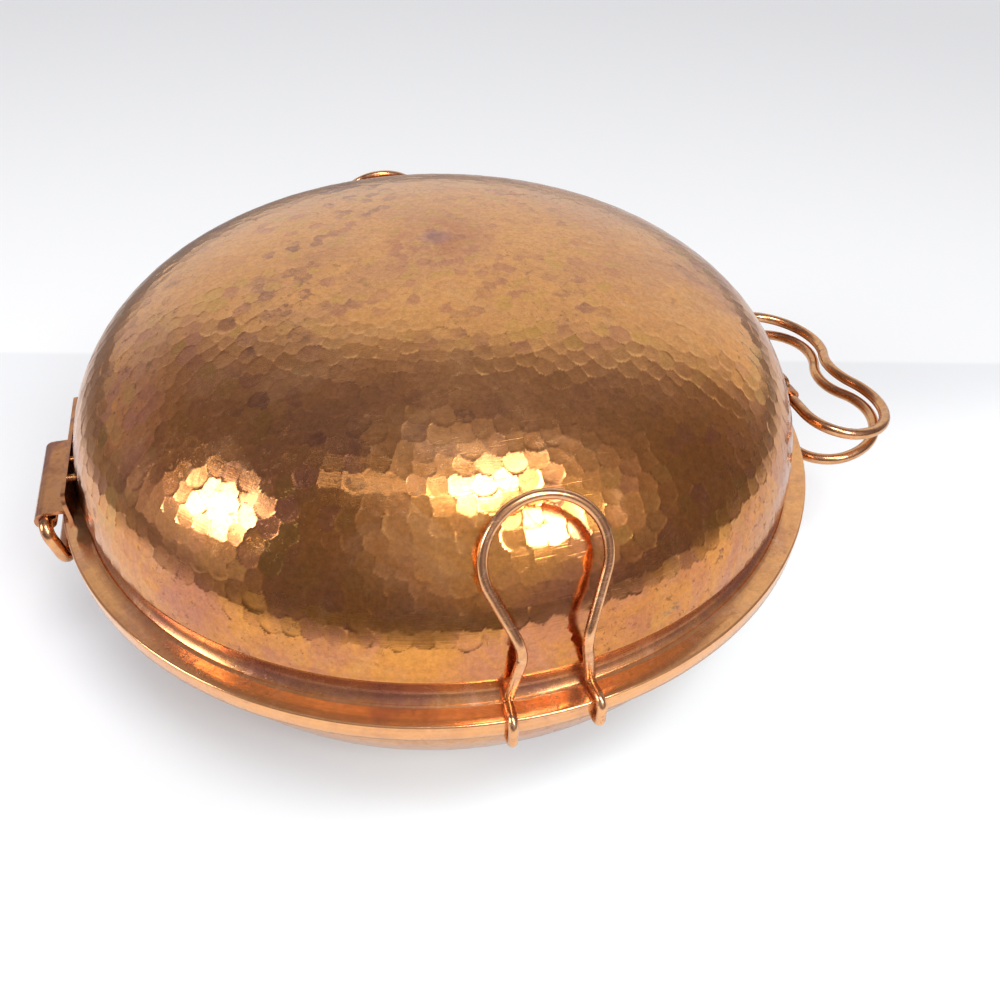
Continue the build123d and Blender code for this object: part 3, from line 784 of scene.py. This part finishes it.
def hammered_finish():
    """Copper planished with a polished hammer: a few blows are rosier or browner than the rest,
    and the crown is hazier, paler and more stained than the flank."""
    material, graph, shader, place, patina, spun, worn = start_metal(
        "hammered_copper",
        (
            (0.80, 0.34, 0.085), (0.62, 0.24, 0.07), (0.48, 0.19, 0.12),
            (0.79, 0.42, 0.18), (0.15, 0.07, 0.045),
        ),
        (9.0, 0.60, 0.45, 0.40, 0.65),
    )
    tone = graph.node("ShaderNodeAttribute", attribute_name="blow_tone").outputs["Fac"]
    ridge = graph.node("ShaderNodeAttribute", attribute_name="blow_ridge").outputs["Fac"]
    height = graph.xyz(place)[2]
    crown, low = graph.ramp(height, *CROWN_HEIGHTS), graph.ramp(height, *LOW_SHADE_HEIGHTS)
    color = graph.mix(graph.times(crown, 0.40), patina.outputs["Color"], (0.72, 0.39, 0.19, 1))
    # blows of another tone, in loose swarms
    swarm = graph.ramp(graph.noise(place, 19.0, 4.0, 0.6, 0.5), 0.44, 0.60)
    rosy = graph.times(graph.ramp(tone, 0.66, 0.96), graph.add(graph.times(swarm, 0.38), 0.10))
    color = graph.mix(rosy, color, (0.48, 0.18, 0.12, 1))
    golden = graph.times(graph.ramp(tone, 0.30, 0.04), graph.add(graph.times(swarm, 0.40), 0.10))
    color = graph.mix(golden, color, (0.60, 0.34, 0.08, 1))
    # the stain round the pole
    out = graph.from_axis(place)
    middle = graph.ramp(graph.noise(place, 70.0, 5.0, 0.65), 0.38, 0.58)
    middle = graph.times(graph.times(graph.ramp(out, 0.026, 0.006), middle), crown)
    color = graph.mix(graph.times(middle, 0.60), color, (0.52, 0.18, 0.08, 1))
    pole = graph.times(graph.ramp(out, 0.008, 0.003), crown)
    color = graph.mix(graph.times(pole, 0.5), color, (0.40, 0.20, 0.20, 1))
    # painted shade: the low flank is painted deeper and clouded violet, darker towards the bottom
    color = graph.mix(graph.times(low, 0.30), color, (0.38, 0.13, 0.015, 1))
    cloud = graph.ramp(graph.noise(place, 23.0, 6.0, 0.68, 0.8), 0.44, 0.62)
    color = graph.mix(graph.times(graph.times(cloud, low), 0.60), color, (0.46, 0.175, 0.13, 1))
    # single tarnished blows, dark ridges (painted shade on every ridge, with stain on top where the
    # crown is stained), verdigris and grain
    tarnish = graph.ramp(graph.noise(place, 24.0, 5.0, 0.6), 0.48, 0.64)
    tarnish = graph.times(tarnish, graph.ramp(tone, 0.60, 0.85))
    tarnish = graph.times(tarnish, graph.ramp(graph.noise(place, 300.0, 5.0, 0.7), 0.38, 0.56))
    tarnish = graph.times(tarnish, graph.add(graph.times(crown, 0.46), 0.08))
    color = graph.mix(tarnish, color, (0.24, 0.12, 0.08, 1))
    # painted shade along every ridge where two blows meet, darker still with stain where the crown
    # is stained
    stained = graph.ramp(graph.noise(place, 30.0, 4.0, 0.6), 0.44, 0.60)
    edge = graph.times(ridge, graph.add(graph.times(graph.times(crown, stained), 0.30), 0.15))
    color = graph.mix(edge, color, (0.20, 0.09, 0.05, 1))
    verdigris = graph.ramp(graph.noise(place, 46.0, 5.0, 0.7, 0.6), 0.665, 0.73)
    color = graph.mix(graph.times(verdigris, 0.5), color, (0.26, 0.21, 0.13, 1))
    grain = graph.noise(place, 520.0, 6.0, 0.78)
    color = graph.mix(1.0, color, graph.ramp(grain, 0.32, 0.68, 0.84, 1.12), "MULTIPLY")
    spun.inputs["Lines per metre"].default_value = 1900.0
    worn.inputs["Amount"].default_value = 0.6
    rough = graph.add(patina.outputs["Haze"], 0.128)
    rough = graph.add(rough, graph.times(crown, 0.065))
    rough = graph.add(rough, graph.times(tone, 0.03))
    rough = graph.add(rough, graph.times(verdigris, 0.2))
    scratches = worn.outputs["Scratches"]
    rough = graph.add(rough, graph.times(scratches, 0.10))
    pits = graph.noise(place, 650.0, 4.0, 0.6)
    relief = graph.add(graph.times(pits, 0.45), graph.times(spun.outputs["Lines"], 0.75))
    relief = graph.scratched(relief, scratches, 0.7)
    finish_metal(graph, shader, color, rough, relief, COPPER_RELIEF)
    return material


def spun_finish():
    """Rim and neck: turned copper, tarnished violet in the hollow of the neck, bright on the
    edges worn by handling, and the flat rims a little paler, partly from rubbing and partly
    as painted sheen."""
    material, graph, shader, place, patina, spun, worn = start_metal(
        "spun_copper",
        (
            (0.82, 0.38, 0.125), (0.60, 0.23, 0.085), (0.42, 0.16, 0.13),
            (0.86, 0.47, 0.27), (0.16, 0.075, 0.05),
        ),
        (17.0, 0.60, 0.50, 0.45, 0.50),
    )
    out, height = graph.from_axis(place), graph.xyz(place)[2]
    off_seam = graph.math("ABSOLUTE", graph.math("SUBTRACT", height, SEAM * MM))
    hollow = graph.times(graph.ramp(out, 0.1520, 0.1500), graph.ramp(off_seam, 0.0105, 0.0075))
    clouds = graph.ramp(graph.noise(place, 26.0, 4.0, 0.6), 0.38, 0.60)
    hidden = graph.times(hollow, graph.add(graph.times(clouds, 0.5), 0.25))
    color = graph.mix(hidden, patina.outputs["Color"], (0.32, 0.12, 0.10, 1))
    grain = graph.noise(place, 520.0, 6.0, 0.78)
    color = graph.mix(1.0, color, graph.ramp(grain, 0.32, 0.68, 0.86, 1.10), "MULTIPLY")
    edge = graph.times(graph.ramp(out, 0.1585, 0.1594), graph.ramp(off_seam, 0.0, 0.0012))
    color = graph.mix(graph.times(edge, 0.5), color, (0.84, 0.42, 0.17, 1))
    # the flat rims a little paler: partly worn by handling, partly a painted sheen
    wear_and_sheen = graph.times(graph.ramp(out, 0.1510, 0.1530), graph.ramp(off_seam, 0.0030, 0.0016))
    color = graph.mix(graph.times(wear_and_sheen, 0.14), color, (0.88, 0.58, 0.36, 1))
    shader.inputs["Metallic"].default_value = 0.84
    spun.inputs["Lines per metre"].default_value = 2600.0
    centred = graph.math("SUBTRACT", spun.outputs["Lines"], 0.5)
    scratches = worn.outputs["Scratches"]
    rough = graph.add(graph.add(patina.outputs["Haze"], 0.13), graph.times(centred, 0.14))
    rough = graph.add(rough, graph.times(hollow, 0.10))
    rough = graph.add(rough, graph.times(scratches, 0.10))
    relief = graph.scratched(spun.outputs["Lines"], scratches, 0.5)
    finish_metal(graph, shader, color, rough, relief, COPPER_RELIEF)
    return material


hammered_copper = hammered_finish()
spun_copper = spun_finish()
wiped_tin = plain_metal(
    "wiped_tin",
    (
        (0.62, 0.60, 0.56), (0.50, 0.47, 0.43), (0.42, 0.38, 0.34),
        (0.70, 0.68, 0.64), (0.28, 0.24, 0.20),
    ),
    (16.0, 0.6, 0.35, 0.5, 0.3), 0.27, 900.0, line_rough=0.16, relief=0.00003,
)
rolled_sheet = plain_metal(
    "rolled_sheet",
    (
        (0.58, 0.26, 0.11), (0.38, 0.155, 0.075), (0.24, 0.10, 0.10),
        (0.60, 0.31, 0.17), (0.10, 0.05, 0.04),
    ),
    (38.0, 0.8, 0.65, 0.35, 0.8), 0.27, 1400.0,
)
drawn_rod = plain_metal(
    "drawn_rod",
    (
        (0.76, 0.39, 0.17), (0.52, 0.25, 0.13), (0.38, 0.18, 0.13),
        (0.78, 0.47, 0.29), (0.16, 0.08, 0.05),
    ),
    (42.0, 0.7, 0.45, 0.5, 0.5), 0.19, 900.0,
)
clamp_wire = plain_metal(
    "clamp_wire",
    (
        (0.82, 0.43, 0.20), (0.58, 0.27, 0.12), (0.40, 0.19, 0.12),
        (0.86, 0.53, 0.31), (0.15, 0.07, 0.05),
    ),
    (55.0, 0.5, 0.30, 0.5, 0.4), 0.22, 900.0,
)
rivet_copper = plain_metal(
    "rivet_copper",
    (
        (0.78, 0.46, 0.17), (0.52, 0.27, 0.10), (0.30, 0.14, 0.10),
        (0.82, 0.56, 0.30), (0.10, 0.05, 0.03),
    ),
    (80.0, 0.6, 0.4, 0.4, 0.6), 0.22, 1200.0,
)


# --- pieces -----------------------------------------------------------------------------------
for prefix, side, seed, body, node, fine in (
    ("upper", 1, 11, "lid", "upper_shell", 1536),
    ("lower", -1, 29, "base", "lower_shell", 768),
):
    for dome in dome_pieces(prefix, side, body, seed, fine):
        dome.data.materials.append(hammered_copper)
        dome.data.materials.append(wiped_tin)
        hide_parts(node)
    rim = rim_piece(prefix + "_rim", side, seed + 1, body)
    rim.data.materials.append(spun_copper)
    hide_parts(node)

for name, facing, bend in (("front_clamp", -90, FRONT_BEND), ("rear_clamp", 90, REAR_BEND)):
    wire = clamp_piece(name, facing, bend)
    wire.data.materials.append(clamp_wire)
    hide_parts(name)

finishes = {
    "upper_hinge_leaf": rolled_sheet,
    "lower_hinge_leaf": rolled_sheet,
    "upper_handle_leaf": rolled_sheet,
    "lower_handle_leaf": rolled_sheet,
    "hinge_link": drawn_rod,
    "upper_handle": drawn_rod,
    "lower_handle": drawn_rod,
    "upper_hinge_rivets": rivet_copper,
    "lower_hinge_rivets": rivet_copper,
    "upper_handle_rivets": rivet_copper,
    "lower_handle_rivets": rivet_copper,
    "upper_shell": spun_copper,
    "lower_shell": spun_copper,
    "front_clamp": clamp_wire,
    "rear_clamp": clamp_wire,
}
for node_name, finish in finishes.items():
    mesh = nodes[node_name].data
    mesh.materials.clear()
    mesh.materials.append(finish)


# --- floor, light and camera ------------------------------------------------------------------
VIEWER = 102.0  # degrees from the viewer's azimuth round to +X


def direction(azimuth, elevation):
    """Unit vector; azimuth is counted from the viewer's side, positive to the viewer's right."""
    turn, rise = math.radians(azimuth - VIEWER), math.radians(elevation)
    level = math.cos(rise)
    return np.array([math.cos(turn) * level, math.sin(turn) * level, math.sin(rise)])


AWAY = 176.4  # azimuth square to the line where the table ends and the wall begins
WALL_FROM, WALL_TO = 0.1885, 0.1945  # metres that way over which the table turns into wall
FLOOR_HALF = 5.0

floor_mesh = bpy.data.meshes.new("floor")
floor_mesh.from_pydata(
    [(x * FLOOR_HALF, y * FLOOR_HALF, 0) for x, y in ((-1, -1), (1, -1), (1, 1), (-1, 1))],
    [], [(0, 1, 2, 3)],
)
floor = bpy.data.objects.new("floor", floor_mesh)
bpy.context.scene.collection.objects.link(floor)
white_table = bpy.data.materials.new("white_table")
white_table.use_nodes = True
graph = Graph(white_table.node_tree)
paint = white_table.node_tree.nodes["Principled BSDF"]
paint.inputs["Roughness"].default_value = 0.75
paint.inputs["Specular IOR Level"].default_value = 0.15
spot = graph.node("ShaderNodeTexCoord").outputs["Object"]


def along(azimuth):
    return graph.along(spot, direction(azimuth, 0))


beyond = along(AWAY)
path = graph.node("ShaderNodeLightPath").outputs
distance = graph.from_axis(spot)
# a white table, painted greyer towards the wall as shade, and painted cooler close to the warm
# copper to cancel the warm light the copper throws on it
table = graph.mix(
    graph.ramp(beyond, -0.14, 0.15), (0.95, 0.96, 0.965, 1), (0.86, 0.875, 0.88, 1)
)
# painted cool tint close to the pan, cancelling the copper's warm bounce light
table = graph.mix(graph.ramp(distance, 0.22, 0.13), table, (0.85, 0.945, 0.985, 1))
wall = graph.ramp(beyond, WALL_FROM, WALL_TO)
pale = graph.mix(wall, table, (0.825, 0.835, 0.835, 1))
# the copper sees the dim room past the table's edges on three sides
past = None
for azimuth, start, end in ((-35, 0.48, 0.62), (-122, 0.40, 0.58), (88, 0.60, 0.80)):
    edge = graph.ramp(along(azimuth), start, end)
    past = edge if past is None else graph.math("MAXIMUM", past, edge)
pale = graph.mix(graph.times(past, path["Is Glossy Ray"]), pale, (0.30, 0.28, 0.27, 1))
graph.put(pale, paint.inputs["Base Color"])
graph.put((1.0, 1.0, 1.0, 1), paint.inputs["Emission Color"])
# painted light: a glow seen only by the camera washes out white the wall, the right of the table,
# and all that lies far off
right_side = graph.times(graph.ramp(along(42), 0.0, 0.20), graph.ramp(beyond, 0.19, 0.10))
far = graph.times(graph.ramp(distance, 0.40, 1.1), graph.ramp(beyond, 0.30, 0.10))
glow = graph.ramp(distance, 1.2, 2.6, 0.0, 0.15)
for part, amount in ((wall, 0.12), (right_side, 0.17), (far, 0.25)):
    glow = graph.add(glow, graph.times(part, amount))
graph.put(graph.times(glow, path["Is Camera Ray"]), paint.inputs["Emission Strength"])
floor_mesh.materials.append(white_table)


def stand(back, place, lean=0.0):
    """Matrix of a lamp or camera at a place, its back turned to a unit vector's side, and its right
    side level or leaning up by some degrees."""
    level = np.cross([0, 0, 1.0], back)
    level /= np.linalg.norm(level)
    top = np.cross(back, level)
    cos, sin = math.cos(math.radians(lean)), math.sin(math.radians(lean))
    right, up = level * cos + top * sin, top * cos - level * sin
    return Matrix([(right[i], up[i], back[i], place[i]) for i in range(3)] + [(0, 0, 0, 1)])


LAMP_DISTANCE, LAMP_AIM = 1.4, 0.1  # metres: how far the lamps are, and the height they face


def window(name, azimuth, elevation, size, radiance):
    """A soft rectangular lamp facing the pan, given by what its face gives off."""
    lamp = bpy.data.lights.new(name, "AREA")
    lamp.shape = "RECTANGLE"
    lamp.size, lamp.size_y = size
    lamp.energy = radiance * math.pi * size[0] * size[1]
    item = bpy.data.objects.new(name, lamp)
    back = direction(azimuth, elevation)
    item.matrix_world = stand(back, back * LAMP_DISTANCE + np.array([0, 0, LAMP_AIM]))
    bpy.context.scene.collection.objects.link(item)


window("window_left", -71, 27, (0.38, 0.50), 11.0)
window("window_front_high", 26, 65, (0.42, 0.25), 16.0)
window("window_front_low", 36, 42, (0.33, 0.38), 16.0)
window("ceiling_strip", -22, 67, (1.05, 0.08), 1.6)

world = bpy.data.worlds.new("room")
bpy.context.scene.world = world
world.use_nodes = True
graph = Graph(world.node_tree)
ground = world.node_tree.nodes["Background"]
ray = graph.node("ShaderNodeTexCoord").outputs["Generated"]


def toward(azimuth, elevation):
    return graph.along(ray, direction(azimuth, elevation))


DARKEST = 0.19  # what the room gives off everywhere
rise = graph.along(ray, (0, 0, 1))
behind = toward(173, 0)
backdrop = graph.times(graph.ramp(behind, 0.45, 0.66), graph.ramp(rise, 0.862, 0.842))
level = graph.add(graph.times(backdrop, 0.53), DARKEST)
for part, amount in (
    (graph.ramp(toward(26, 44), 0.66, 0.95), 0.33),  # the bright wall round the windows
    (graph.ramp(toward(-76, 3), 0.90, 0.985), 0.45),  # a window sill, low down
    (graph.ramp(rise, 0.975, 0.998), 0.30),  # the ceiling overhead
    (graph.ramp(toward(-118, 12), 0.94, 0.995), 0.24),  # the wall at the left
    (graph.ramp(behind, 0.12, 0.45), 0.075),  # the upper wall, above the backdrop
):
    level = graph.add(level, graph.times(part, amount))
path = graph.node("ShaderNodeLightPath").outputs
shiny = graph.math("MAXIMUM", path["Is Glossy Ray"], path["Is Transmission Ray"])
mirrored = graph.times(graph.times(shiny, backdrop), 0.9)
white = graph.math("MAXIMUM", path["Is Camera Ray"], mirrored)
fill = graph.add(graph.times(toward(62, 20), 0.40), 0.46)
soft = graph.math("MAXIMUM", white, graph.times(path["Is Diffuse Ray"], fill))
strength = graph.math("MAXIMUM", level, soft)
graph.put(strength, ground.inputs["Strength"])
tint = graph.mix(graph.ramp(strength, 0.30, 0.70), (1.0, 0.87, 1.06, 1), (0.97, 0.99, 1.0, 1))
graph.put(tint, ground.inputs["Color"])

EYE_OUT, EYE_HEIGHT = 0.30975, 0.3226  # metres, from the foot's middle
EYE_AZIMUTH, EYE_ELEVATION, EYE_LEAN = -5.03, 42.277, 1.427  # degrees, how the eye is turned
camera_data = bpy.data.cameras.new("camera")
camera_data.sensor_width = 36.0
camera_data.lens = 30.6
camera_data.clip_start = 0.01
camera = bpy.data.objects.new("camera", camera_data)
eye = direction(0, 0) * EYE_OUT + np.array([0, 0, EYE_HEIGHT])
camera.matrix_world = stand(direction(EYE_AZIMUTH, EYE_ELEVATION), eye, EYE_LEAN)
bpy.context.scene.collection.objects.link(camera)
bpy.context.scene.camera = camera
bpy.context.scene.view_settings.view_transform = "Standard"
